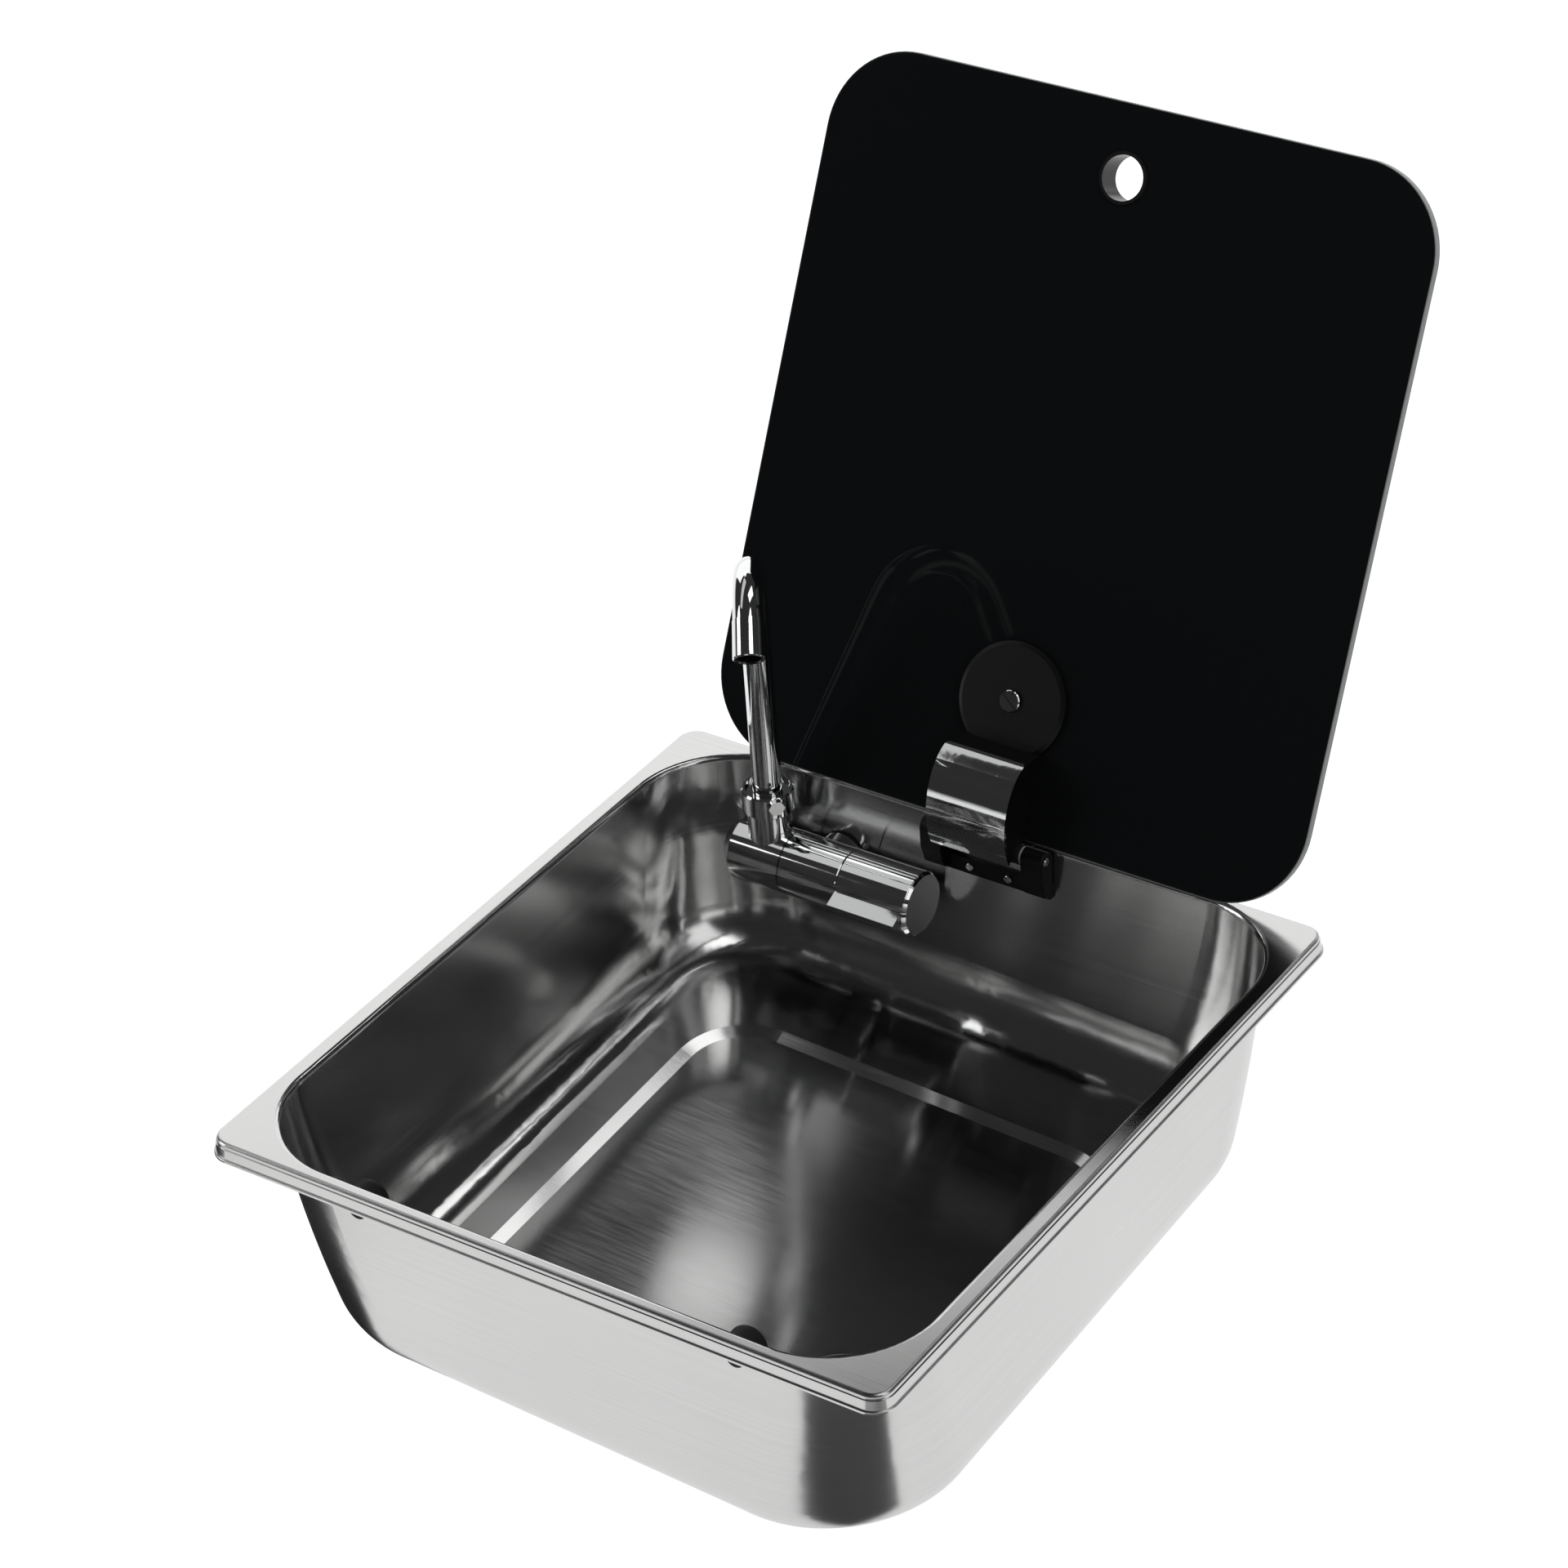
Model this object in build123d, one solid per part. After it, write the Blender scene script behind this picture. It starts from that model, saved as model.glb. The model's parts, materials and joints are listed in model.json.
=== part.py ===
from build123d import *
import math
import os

# Sink for a camper van, with a folding tap and a glass lid. Millimetres, +Z up.
# The origin is at the plan centre of the rim, on the worktop plane (z = 0). The front is at -Y.

# ---------------------------------------------------------------- bowl and rim
SHEET = 0.9                 # thickness of the pressed steel
RIM_W = 402.0               # over the bead of the lip
RIM_D = 426.0
RIM_H = 10.0                # worktop to the top of the deck
RIM_CORNER_R = 13.0
BEAD_H = 1.6                # rolled bead at the foot of the lip
BEAD_OUT = 0.8
BEAD_EDGE_R = 0.72
LIP_FLARE = 0.7             # how far the lip leans out, on each side
DECK_H = 3.0                # upper step of the rim
DECK_STEP = 0.5
DECK_EDGE_R = 2.0
LAND_SIDE = 13.0            # rim's outside to the bowl's opening, left and right
LAND_FRONT = 10.0
LAND_BACK = 7.8
OPEN_CORNER_R = 56.0
OPEN_EDGE_R = 3.0
UNDER_EDGE_R = 1.9          # the same bend on the underside of the deck
WALL_SHARES = (1.3, 0.65, 0.0)  # sections of the walls, as shares of the depth
WALL_DRAFT = 3.75           # degrees
BOWL_DEPTH = 127.6          # rim top to the floor, at the plan centre
FLOOR_FALL_RIGHT = 2.89     # degrees, down to the right
FLOOR_FALL_FRONT = 2.78     # degrees, down to the front
FLOOR_CORNER_R = 85.0
FLOOR_FILLET = 33.0
PANEL_SIDE = 57.0           # opening to the floor's lowered panel, left and right
PANEL_END = 75.1            # the same, front and back
PANEL_CORNER_R = 40.0
PANEL_DROP = 2.5
PANEL_RUN = 7.0             # width of the slope round the panel

SEAL_T = 3.0
SEAL_GAP = 0.3
SEAL_HEADROOM = 2.0         # above the seal, under the deck
SEAT = 0.1                  # gap between pieces that are screwed together
PRESS = 0.02                # gap round pieces that are pressed in
CUT_LAP = 1.0               # how far a cutting tool or a joined stub runs past a face
LEVEL = 0.01                # heights this close count as the same
SMALL_EDGE = 0.5            # chamfer on screws and pins

# ---------------------------------------------------------------- lid buffers
BUFFER_IN = 76.0            # from the opening's sides
BUFFER_R = 10.0
BUFFER_REACH = 14.0
BUFFER_EDGE_R = 5.0
BUFFER_STEM_R = 3.0
BUFFER_BUTTON_R = 5.0
BUFFER_BUTTON_T = 2.5
BUFFER_BUTTON_EDGE_R = 1.0

# ---------------------------------------------------------------- waste
WASTE_IN_X = 43.0           # axis, from the panel's right edge
WASTE_IN_Y = 42.0           # axis, from the panel's front edge
WASTE_TUBE_R = 18.0
WASTE_BORE_R = 15.0
WASTE_TUBE_L = 30.0
WASTE_FLANGE_R = 29.0
WASTE_FLANGE_T = 1.5
WASTE_RIM_T = 0.5
WASTE_BEVEL = 1.2
WASTE_DISH_R = 17.5
WASTE_DISH_DEPTH = 4.5
WASTE_RING_T = 1.5
WASTE_RING_W = 8.0
WASTE_NUT_T = 8.0
WASTE_NUT_R = 24.0
WASTE_HOLE_CLEAR = 0.5
CROSS_BAR_W = 3.0
CROSS_BAR_H = 3.0
CROSS_DROP = 7.0            # top of the strainer cross below the flange's face
CROSS_HUB_R = 4.0
BODY_R = 21.0
BODY_FLOOR_T = 4.5
BODY_BEVEL = 8.0
BODY_TOP_DROP = 14.0        # top of the outlet elbow below the floor
BODY_BOTTOM_DROP = 54.0
TAIL_DROP = 38.0
TAIL_R = 12.5
TAIL_BORE_R = 9.5
TAIL_REACH = 62.0           # from the waste's axis to the end of the tail
TAIL_L = 34.0               # stretch that the hose covers, up to the collar
TAIL_COLLAR_R = 15.5
TAIL_COLLAR_T = 3.0
PLUG_R = 22.0
PLUG_STEM_R = 13.5
PLUG_KNOB_R = 8.0
PLUG_NECK_R = 3.5
PLUG_H = 16.0
PLUG_GAP = 0.35
PLUG_FOOT = 2.5             # below the foot of the flange's dish
PLUG_FOOT_BEVEL = 1.5
PLUG_SIDE_GAP = 0.3
PLUG_RIM_T = 1.6
PLUG_RIM_BEVEL = 0.8
PLUG_DOME_H = 3.2           # above the flange's face
PLUG_NECK_H = 4.5
PLUG_KNOB_T = 5.5
PLUG_KNOB_UNDER = 2.0
PLUG_KNOB_EDGE = (1.5, 1.0)

# ---------------------------------------------------------------- lid
LID_SIDE_GAP = 6.5          # closed glass to the opening, left and right
LID_FRONT_GAP = 4.5
LID_REAR_GAP = 14.7
LID_CORNER_R = 47.5
GLASS_T = 6.0
GLASS_EDGE_R = 1.2
LID_DROP = 5.0              # closed glass: underside below the rim top
LID_OPEN = 116.4            # degrees from closed to open
HINGE_IN = 7.0              # hinge axis, from the opening's back
HINGE_DROP = 4.2            # hinge axis below the rim top
HOLE_IN = 38.5              # finger hole's centre, from the front edge of the glass
GROMMET_R = 13.1
GROMMET_BORE_R = 12.0
GROMMET_CLEAR = 0.3
GROMMET_FLANGE_R = 14.2
GROMMET_FLANGE_T = 1.0
GROMMET_COLLAR_R = 17.0
GROMMET_COLLAR_H = 8.0
GROMMET_COLLAR_BEVEL = 2.0
GROMMET_LIP_BEVEL = 0.4
PAD_S = 70.5                # centre of the clamping pad
PAD_R = 32.0
PAD_TOP = 3.2               # height of the pad's face from the glass
PAD_BEVEL_W = 2.3
PAD_BEVEL_H = 1.0
WASHER_T = 0.6
WASHER_R = 29.0
CAP_R = 16.0
CAP_T = 4.0
CAP_EDGE_R = 2.5
CAP_BOSS_R = 4.5
CAP_BORE_GAP = 0.3          # past the screw's tip
CLAMP_HOLE_R = 5.0
CLAMP_SCREW_R = 2.5
CLAMP_HEAD_R = 6.0
CLAMP_HEAD_H = 2.0
SLOT_W = 1.4
SLOT_D = 1.1
SLOT_TURN = -35.0           # degrees from across the lid
SCREW_CLEAR = 0.05
ARM_HALF_W = 23.4
ARM_UNDER = 2.0             # lower face of the arm's block, from the glass
ARM_TOP_S = 47.0
EYE_R = 5.5
EYE_WEB_IN = 0.7
COVER_HALF_W = 24.3
COVER_T = 1.8
COVER_CORNER_R = 2.5
# the cover's side line: distance up the lid, height from the glass
COVER_LINE = [(43.5, 18.5), (34.0, 26.3), (20.0, 29.0), (4.0, 25.6), (-12.8, 13.4)]
COVER_MIDDLE = (12.0, 5.0)

# ---------------------------------------------------------------- hinge bracket
PIN_R = 2.5
PIN_CLEAR = 0.05
PIN_HALF_L = 38.5
EAR_IN = 25.2
EAR_OUT = 38.2
EAR_R = 5.5
EAR_FRONT_DROP = 16.0       # where the ear's front edge starts to lean back
EAR_FOOT_IN = 2.2           # ear's lower front corner, in front of the hinge axis
EAR_FOOT_DROP = 26.5
BRACKET_BOTTOM_DROP = 30.0
BRACKET_TOP_DROP = 2.2
STRIP_TOP_DROP = 21.0       # top of the strip between the ears
STRIP_T = 2.5
EAR_EDGE_R = 1.0
BUSH_R = 5.0
BUSH_T = 1.4
SMALL_SCREW_R = 1.5
SMALL_HEAD_R = 2.4
SMALL_HEAD_H = 1.2
SMALL_HEAD_EDGE_R = 0.8
SMALL_SCREW_OUT = 1.5       # past the nut
SMALL_NUT_R = 3.2
SMALL_NUT_T = 2.4
BRACKET_SCREW_X = 12.0
BRACKET_SCREW_DROP = 25.5

# ---------------------------------------------------------------- tap
TAP_IN = 24.7               # axis of the barrel, along X, from the opening's back
TAP_DROP = 43.8
BARREL_R = 18.2
TAP_CLEAR = 5.7             # end of the barrel to the closed hinge cover
END_CAP_T = 1.5
HANDLE_L = 43.8
BODY_L = 37.2
ELBOW_L = 39.3
COLUMN_IN = 14.5            # spout's axis, from the elbow's right end
RUN_GAP = 0.3               # gap between faces that turn past each other
FIT = 0.05                  # radial clearance of turning fits
END_CHAMFER = 7.0
JOINT_EDGE = 0.4            # chamfer where two lengths of the barrel meet
SPIGOT_R = 12.45
SPIGOT_L = 14.0
SPIGOT_BORE_R = 6.0
FOLD_RINGS_AT = (5.0, 11.0)  # along the spigot
RING_GROOVE_D = 1.15
RING_GROOVE_W = 1.6
RING_T = 0.57               # radius of the rings' section
RING_PLAY = 0.01
ELBOW_PLUG_R = 10.0
ELBOW_PLUG_L = 5.0
ELBOW_PLUG_PROUD = 0.6
COLLAR_R = 12.0
NUT_R = 14.5
NUT_EDGE = 1.0
NUT_BOTTOM_DROP = 12.0
NUT_TOP_RISE = 1.4          # above the rim top
NUT_CUP_R = 12.4
NUT_CUP_TAPER = 0.8
NUT_CUP_D = 2.2
COLLAR_TOP_DROP = 5.4
LOCK_ANGLE = 50.0           # lock screw, degrees from the front towards the right
LOCK_HEX_R = 4.6
LOCK_HEX_L = 3.5
LOCK_SHANK_R = 1.5
LOCK_TIP = 12.2             # tip of its shank, from the spout's axis
LOCK_DROP = 2.2
TUBE_R = 8.1
TUBE_BORE_R = 6.9
TUBE_FOOT_DROP = 40.0
SHOULDER_R = 10.5
SHOULDER_DROP = 9.0
SHOULDER_T = 3.0
COLUMN_TOP = 116.6          # start of the bend above the rim top
BEND_R = 37.0
BEND_ANGLE = 130.0
HOOK_ANGLE = 33.0           # spout's rest azimuth, degrees from the front towards the right
NOZZLE_TOP_R = 8.4
NOZZLE_R = 8.7              # at its mouth
NOZZLE_L = 21.0
NOZZLE_EDGE = 0.6
NOZZLE_LAP = 9.0            # how far the tube enters the nozzle
AERATOR_R = 7.6
AERATOR_L = 7.0
AERATOR_SEAT_W = 1.4
AERATOR_SINK = 0.6          # its face inside the nozzle's mouth
AERATOR_FLOOR_T = 2.0
AERATOR_WALL = 1.2
AERATOR_HOLES = 6
AERATOR_HOLE_R = 1.3
AERATOR_HOLE_RING = 4.4     # radius that the holes stand on
TUBE_RING_T = 0.3
TUBE_RING_GROOVE = 0.55
TUBE_RING_W = 1.0
TUBE_RING_DROPS = (27.0, 33.0)
CARTRIDGE_R = 12.4
BODY_BORE_R = 12.5
CARTRIDGE_IN = 15.5         # cartridge's left end, from the elbow's right end
CARTRIDGE_NECK_R = 8.0
CARTRIDGE_NECK_L = 6.6      # from the body's right end
CARTRIDGE_PORT_R = 4.0
CARTRIDGE_PORT_L = 6.0
SPINDLE_R = 4.0
SPINDLE_L = 17.0            # from the body's right end
SPINDLE_IN = 8.0            # inside the cartridge, left of the body's right end
HANDLE_WALL = 2.6
HANDLE_HUB_R = 7.0
HANDLE_HUB_L = 10.5
HANDLE_END_T = 25.0         # thickness of the handle's right end
LEVER_START = 0.9           # lever's left end, from the body's right end
LEVER_L = 42.0
LEVER_REACH = 26.5          # lever's nose, from the barrel's axis
LEVER_FROM = 164.0          # where its facet leaves the barrel, degrees from the back over the top
LEVER_NOSE = 178.0
LEVER_NOSE_T = 4.0          # degrees that the nose is thick
LEVER_TO = 207.0            # where its underside meets the barrel
LEVER_EDGE = 0.6
RIDGE_ANGLES = (146.4, 157.2)
RIDGE_W = 1.6
RIDGE_H = 0.9
HANDLE_SCREW_R = 2.0
HANDLE_SCREW_HEAD_R = 3.6
HANDLE_SCREW_HEAD_H = 3.0
HANDLE_SCREW_GRIP = 6.0     # in the spindle
HANDLE_SCREW_SEAT = 5.0     # from the handle's inner face to the screw's seat
HANDLE_SCREW_ROOM = 1.0     # round the screw's head
HANDLE_CAP_R = 18.0
HANDLE_CAP_EDGE = 1.3
CAP_STUD_GAP = 0.1
CAP_STUD_L = 6.0
BOSS_R = 13.2
BOSS_IN = 17.5              # boss's axis, from the elbow's right end
INLET_PORT_R = 2.2
SHANK_R = 8.0
SHANK_BORE_R = 4.5
SHANK_OUT = 20.0            # behind the wall
SHANK_IN = 3.0              # inside the barrel's surface
SHANK_HOLE_CLEAR = 0.5
SHANK_RING_R = 13.0
SHANK_RING_T = 1.5
SHANK_NUT_R = 13.5
SHANK_NUT_T = 6.0
INLET_R = 6.0
INLET_BORE_R = 4.0
INLET_SOCKET_R = 10.5
INLET_SOCKET_L = 16.0
INLET_ELBOW_OUT = 4.0       # axis of the tail, past the shank's end
INLET_END_T = 6.0           # from that axis to the socket's end
INLET_NECK_IN = 1.0         # the elbow is this much slimmer than the socket
INLET_DROP = 34.0           # length of the tail below the shank's axis

BASE = (Align.CENTER, Align.CENTER, Align.MIN)

# ---------------------------------------------------------------- places that follow from the sizes
draft = math.radians(WALL_DRAFT)
open_w = RIM_W - 2 * LAND_SIDE
open_d = RIM_D - LAND_FRONT - LAND_BACK
open_front = LAND_FRONT - RIM_D / 2
open_back = RIM_D / 2 - LAND_BACK
open_y = (open_front + open_back) / 2
panel_w = open_w - 2 * PANEL_SIDE
panel_d = open_d - 2 * PANEL_END
waste_x = panel_w / 2 - WASTE_IN_X
waste_y = WASTE_IN_Y - panel_d / 2
buffer_x = open_w / 2 - BUFFER_IN
lid_w = open_w - 2 * LID_SIDE_GAP
lid_rear_y = open_back - LID_REAR_GAP
lid_l = lid_rear_y - open_front - LID_FRONT_GAP
hole_s = lid_l - HOLE_IN
hinge_y = open_back - HINGE_IN
hinge_z = RIM_H - HINGE_DROP
tap_y = open_back - TAP_IN
tap_z = RIM_H - TAP_DROP
cap_x1 = -COVER_HALF_W - TAP_CLEAR
handle_x1 = cap_x1 - END_CAP_T
body_x1 = handle_x1 - HANDLE_L
elbow_x1 = body_x1 - BODY_L
elbow_x0 = elbow_x1 - ELBOW_L
column_x = elbow_x1 - COLUMN_IN
boss_x = elbow_x1 + BOSS_IN
cartridge_x0 = elbow_x1 + CARTRIDGE_IN
neck_x1 = body_x1 + CARTRIDGE_NECK_L
spindle_x1 = body_x1 + SPINDLE_L
handle_end_x = handle_x1 - HANDLE_END_T
hub_x0 = handle_end_x - HANDLE_HUB_L
lever_x0 = body_x1 + LEVER_START
lever_x1 = lever_x0 + LEVER_L
os.makedirs("parts", exist_ok=True)


# ---------------------------------------------------------------- small helpers
def write(name, *solids):
    """Write one node: a single solid, or a group of separate ones."""
    shape = solids[0] if len(solids) == 1 else Compound(children=list(solids))
    shape.label = name
    export_step(shape, f"parts/{name}.step")


def rod(radius, start, end):
    """A round rod between two points."""
    start, end = Vector(*start), Vector(*end)
    place = Plane(origin=start, z_dir=end - start).location
    return place * Cylinder(radius, (end - start).length, align=BASE)


def turned(points):
    """A solid of revolution about Z, from (radius, height) points."""
    outline = make_face(Polyline(*[(r, 0, z) for r, z in points], close=True))
    return revolve(outline, Axis.Z)


def ring(outer, inner, height):
    """A flat ring that stands on z = 0."""
    return Cylinder(outer, height, align=BASE) - Cylinder(inner, height, align=BASE)


def hex_bar(corner_r, height):
    """A six-sided bar that stands on z = 0."""
    return extrude(RegularPolygon(corner_r, 6), height)


def rounded(width, depth, radius, height, centre_y=0.0):
    """A rounded rectangle at a height."""
    return Pos(0, centre_y, height) * RectangleRounded(width, depth, radius)


def polar(radius, angle):
    """A point (y, z) round the barrel, angle in degrees from the back over the top."""
    turn = math.radians(angle)
    return (tap_y + radius * math.cos(turn), tap_z + radius * math.sin(turn))


# ---------------------------------------------------------------- bowl geometry that others use
def back_wall_y(z):
    """Inner face of the back wall."""
    return open_y + open_d / 2 - (RIM_H - z) * math.tan(draft)


def front_wall_y(z):
    """Inner face of the front wall."""
    return open_y - open_d / 2 + (RIM_H - z) * math.tan(draft)


def back_wall_at(x, z):
    """A place on the back wall's inner face, its Z pointing into the bowl."""
    facing = (0, -math.cos(draft), math.sin(draft))
    return Plane(origin=(x, back_wall_y(z), z), x_dir=(1, 0, 0), z_dir=facing).location


def front_wall_at(x, z):
    """A place on the front wall's inner face, its Z pointing into the bowl."""
    facing = (0, math.cos(draft), math.sin(draft))
    return Plane(origin=(x, front_wall_y(z), z), x_dir=(1, 0, 0), z_dir=facing).location


def floor_z(x, y):
    """Height of the floor's border, which the panel lies below."""
    fall = x * math.tan(math.radians(FLOOR_FALL_RIGHT)) - y * math.tan(math.radians(FLOOR_FALL_FRONT))
    return RIM_H - BOWL_DEPTH - fall


def floor_at(x, y, below=0.0):
    """A place on the sloped floor, its Z square to the floor."""
    square = Vector(math.tan(math.radians(FLOOR_FALL_RIGHT)), -math.tan(math.radians(FLOOR_FALL_FRONT)), 1)
    origin = Vector(x, y, floor_z(x, y)) - square.normalized() * below
    return Plane(origin=origin, x_dir=Vector(1, 0, -square.X), z_dir=square)


# ---------------------------------------------------------------- sink bowl
def bowl_space(grow):
    """The space inside the bowl (grow 0), or the outside of its sheet (grow SHEET)."""
    sections = []
    for share in WALL_SHARES:
        depth = share * BOWL_DEPTH
        wider = 2 * (grow - depth * math.tan(draft))
        corner = OPEN_CORNER_R + (FLOOR_CORNER_R - OPEN_CORNER_R) * share ** 2 + grow
        sections.append(rounded(open_w + wider, open_d + wider, corner, RIM_H - depth, open_y))
    space = loft(sections)
    floor = floor_at(0, 0, grow)
    space = split(space, bisect_by=floor, keep=Keep.TOP)
    space = fillet(space.faces().sort_by(Axis.Z)[0].edges(), FLOOR_FILLET + grow)
    return space + floor_panel(floor, grow)


def floor_panel(floor, grow):
    """The lowered panel: a shallow frustum that starts a little above the floor."""
    slope = PANEL_RUN / PANEL_DROP
    sections = []
    for level in (CUT_LAP, -PANEL_DROP):
        wider = 2 * (level * slope + grow)
        outline = RectangleRounded(panel_w + wider, panel_d + wider, PANEL_CORNER_R + level * slope + grow)
        sections.append(floor.location * Pos(0, 0, level) * outline)
    return loft(sections, ruled=True)


def rim_block():
    """The rim's outside, solid: bead, leaning lip and stepped deck."""
    lip_top = RIM_H - DECK_H
    foot = (RIM_W - 2 * BEAD_OUT, RIM_D - 2 * BEAD_OUT, RIM_CORNER_R - BEAD_OUT)
    head = [size - 2 * LIP_FLARE for size in foot[:2]] + [foot[2] - LIP_FLARE]
    deck = [size - 2 * DECK_STEP for size in head[:2]] + [head[2] - DECK_STEP]
    bead = extrude(RectangleRounded(RIM_W, RIM_D, RIM_CORNER_R), BEAD_H)
    bead = fillet(bead.edges().group_by(Axis.Z)[-1], BEAD_EDGE_R)
    lip = loft([rounded(*foot, 0), rounded(*head, lip_top)], ruled=True)
    plate = Pos(0, 0, lip_top) * extrude(RectangleRounded(*deck), DECK_H)
    plate = fillet(plate.edges().group_by(Axis.Z)[-1], DECK_EDGE_R)
    return bead + lip + plate


buffer_high = (BUFFER_REACH - BUFFER_EDGE_R) * math.sin(draft) + (BUFFER_R - BUFFER_EDGE_R) * math.cos(draft)
buffer_z = RIM_H - LID_DROP - RUN_GAP - BUFFER_EDGE_R - buffer_high
tap_wall = back_wall_at(boss_x, tap_z - (back_wall_y(tap_z) - tap_y) * math.sin(draft) * math.cos(draft))
deck_w = RIM_W - 2 * (BEAD_OUT + LIP_FLARE + DECK_STEP + SHEET)
deck_d = RIM_D - 2 * (BEAD_OUT + LIP_FLARE + DECK_STEP + SHEET)
deck_r = RIM_CORNER_R - BEAD_OUT - LIP_FLARE - DECK_STEP - SHEET
bowl_inner = bowl_space(0.0)
bowl_outer = bowl_space(SHEET)


def sink_bowl():
    """The whole pressing: rim, walls and floor from one sheet, with its holes."""
    body = rim_block() + bowl_outer
    body = body - bowl_inner
    top = body.edges().filter_by_position(Axis.Z, RIM_H - LEVEL, RIM_H + LEVEL)
    mouth = [edge for edge in top if abs(edge.center().X) < open_w / 2 + LEVEL
             and open_front - LEVEL < edge.center().Y < open_back + LEVEL]
    body = fillet(mouth, OPEN_EDGE_R)
    hollow = extrude(rounded(deck_w, deck_d, deck_r, -CUT_LAP), RIM_H - SHEET + CUT_LAP)
    hollow = hollow - bowl_outer
    hollow = fillet(hollow.edges().group_by(Axis.Z)[-1], UNDER_EDGE_R)
    body = body - hollow
    reach = SHEET + 3 * CUT_LAP
    drain = floor_at(waste_x, waste_y, PANEL_DROP).location
    hole = Pos(0, 0, -reach) * Cylinder(WASTE_TUBE_R + WASTE_HOLE_CLEAR, 2 * reach, align=BASE)
    body = body - drain * hole
    for side in (-1, 1):
        hole = Pos(0, 0, -reach) * Cylinder(BUFFER_STEM_R, 2 * reach, align=BASE)
        body = body - front_wall_at(side * buffer_x, buffer_z) * hole
        hole = Pos(0, 0, -reach) * Cylinder(SMALL_SCREW_R + SCREW_CLEAR, 2 * reach, align=BASE)
        body = body - back_wall_at(side * BRACKET_SCREW_X, RIM_H - BRACKET_SCREW_DROP) * hole
    hole = Pos(0, 0, -reach) * Cylinder(SHANK_R + SHANK_HOLE_CLEAR, 2 * reach, align=BASE)
    return body - tap_wall * hole


write("sink_bowl", sink_bowl())

seal = extrude(RectangleRounded(deck_w - 2 * SEAL_GAP, deck_d - 2 * SEAL_GAP, deck_r - SEAL_GAP),
               RIM_H - SHEET - SEAL_HEADROOM)
inside = SEAL_GAP + SEAL_T
seal = seal - extrude(RectangleRounded(deck_w - 2 * inside, deck_d - 2 * inside, deck_r - inside), RIM_H)
write("rim_seal", seal)


def lid_buffer(side):
    """A rubber buffer on the front wall: domed head, stem and the button behind the wall."""
    head = Pos(0, 0, SEAT) * Cylinder(BUFFER_R, BUFFER_REACH - SEAT, align=BASE)
    head = fillet(head.edges().group_by(Axis.Z)[-1], BUFFER_EDGE_R)
    stem = Pos(0, 0, -SHEET - SEAT) * Cylinder(BUFFER_STEM_R - PRESS, SHEET + 3 * SEAT, align=BASE)
    button = Cylinder(BUFFER_BUTTON_R, BUFFER_BUTTON_T, align=BASE)
    button = fillet(button.edges().group_by(Axis.Z)[0], BUFFER_BUTTON_EDGE_R)
    button = Pos(0, 0, -SHEET - SEAT - BUFFER_BUTTON_T) * button
    return front_wall_at(side * buffer_x, buffer_z) * (head + stem + button)


write("lid_buffers", lid_buffer(-1), lid_buffer(1))


# ---------------------------------------------------------------- waste, square to the floor panel
drain = floor_at(waste_x, waste_y, PANEL_DROP).location
flange_base = WASTE_RING_T
flange_top = flange_base + WASTE_FLANGE_T
dish_foot = flange_top - WASTE_DISH_DEPTH
under_floor = -SHEET - WASTE_RING_T


def waste_flange():
    """Dished flange with its threaded tail and the strainer cross."""
    body = turned([
        (WASTE_BORE_R, -WASTE_TUBE_L), (WASTE_TUBE_R, -WASTE_TUBE_L), (WASTE_TUBE_R, flange_base),
        (WASTE_FLANGE_R, flange_base), (WASTE_FLANGE_R, flange_base + WASTE_RIM_T),
        (WASTE_FLANGE_R - WASTE_BEVEL, flange_top), (WASTE_DISH_R, flange_top), (WASTE_BORE_R, dish_foot)])
    cross_z = flange_top - CROSS_DROP - CROSS_BAR_H
    for turn in (0, 90):
        bar = Box(2 * WASTE_BORE_R + CUT_LAP, CROSS_BAR_W, CROSS_BAR_H, align=BASE)
        body = body + Pos(0, 0, cross_z) * Rot(0, 0, turn) * bar
    return body + Pos(0, 0, cross_z) * Cylinder(CROSS_HUB_R, CROSS_BAR_H, align=BASE)


def waste_body():
    """Outlet elbow: a cup on the flange's threaded tail, with a hose spigot to the left."""
    inner_r = WASTE_TUBE_R + FIT
    cup = turned([
        (0, -BODY_BOTTOM_DROP), (BODY_R - BODY_BEVEL, -BODY_BOTTOM_DROP),
        (BODY_R, BODY_BEVEL - BODY_BOTTOM_DROP), (BODY_R, -BODY_TOP_DROP), (0, -BODY_TOP_DROP)])
    cup = cup + rod(TAIL_R, (0, 0, -TAIL_DROP), (-TAIL_REACH, 0, -TAIL_DROP))
    collar_end = TAIL_L - TAIL_REACH
    cup = cup + rod(TAIL_COLLAR_R, (collar_end + TAIL_COLLAR_T, 0, -TAIL_DROP), (collar_end, 0, -TAIL_DROP))
    cup = cup - rod(inner_r, (0, 0, -WASTE_TUBE_L - CUT_LAP), (0, 0, 0))
    cup = cup - rod(WASTE_BORE_R, (0, 0, BODY_FLOOR_T - BODY_BOTTOM_DROP), (0, 0, 0))
    return cup - rod(TAIL_BORE_R, (0, 0, -TAIL_DROP), (-TAIL_REACH - CUT_LAP, 0, -TAIL_DROP))


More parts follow.
